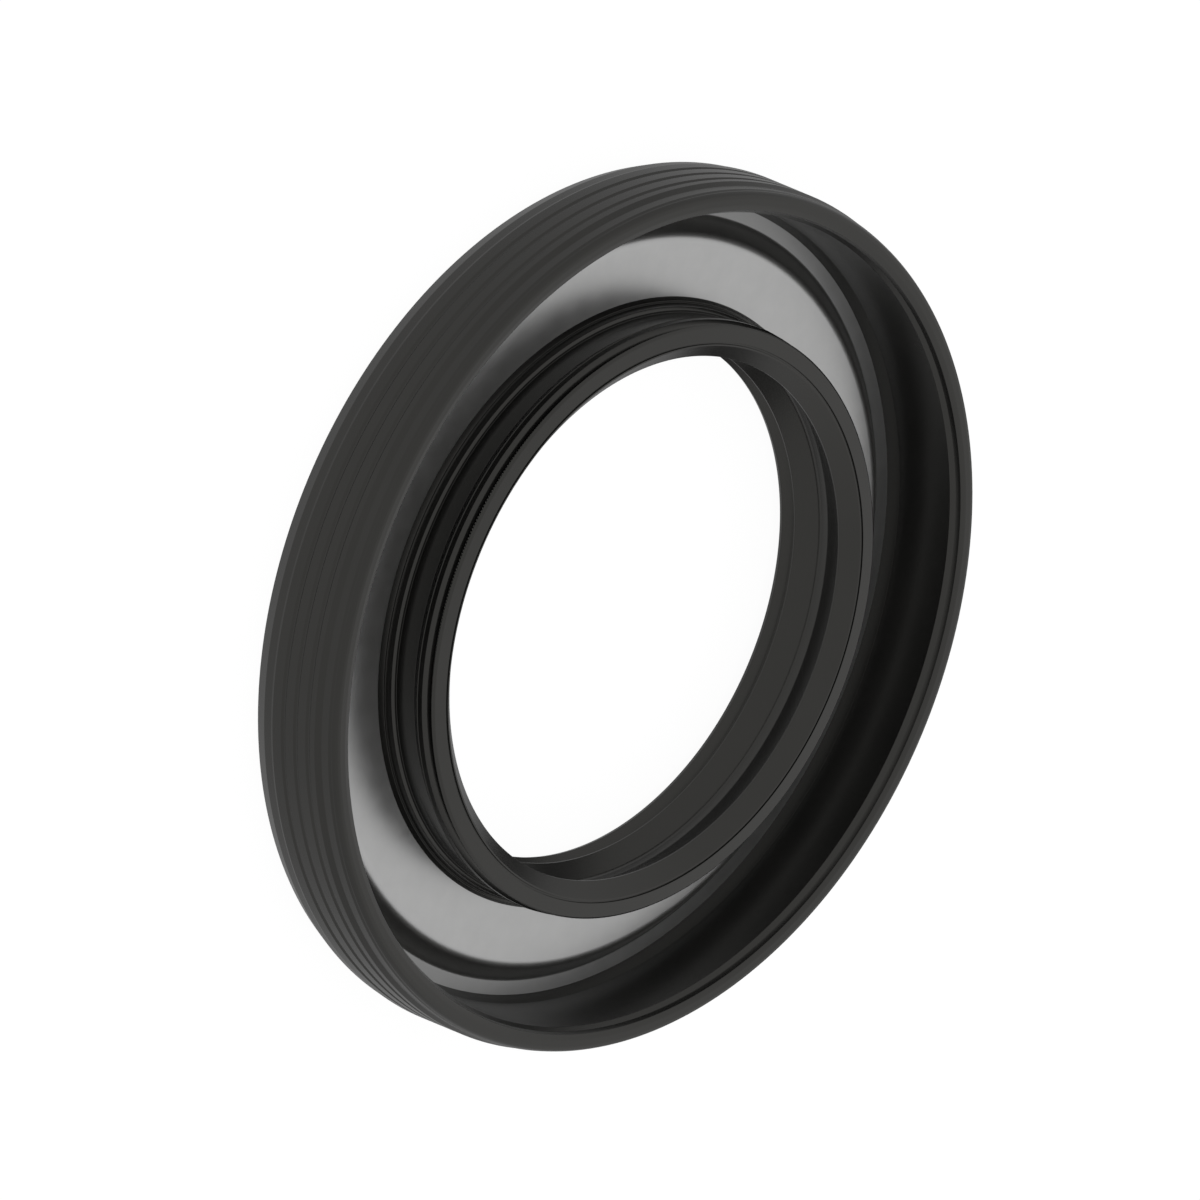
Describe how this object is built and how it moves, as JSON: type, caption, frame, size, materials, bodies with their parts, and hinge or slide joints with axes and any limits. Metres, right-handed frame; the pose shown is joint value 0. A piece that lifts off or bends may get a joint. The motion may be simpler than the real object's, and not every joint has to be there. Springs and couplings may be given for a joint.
{
  "type": "radial shaft seal",
  "caption": "Rubber-covered radial shaft seal with a spring-loaded main lip, a second lip and a dust lip round a pressed steel case, for a 50 mm shaft in an 80 mm bore.",
  "frame": {"origin": "on the shaft axis, in the plane of the flat back (air side) face that the seal lies on", "axes": "+Z along the shaft axis, out of the open (oil) side where the spring-loaded lip is; X and Y are any radial directions, as the seal is a body of revolution"},
  "size_m": [0.0804, 0.0804, 0.0102],
  "materials": {
    "rubber": "satin moulded black nitrile rubber",
    "case_steel": "matt phosphated pressed sheet steel",
    "spring_steel": "drawn spring wire"
  },
  "bodies": {
    "root": {"rubber_body": "rubber", "steel_case": "case_steel", "garter_spring": "spring_steel"}
  },
  "joints": []
}
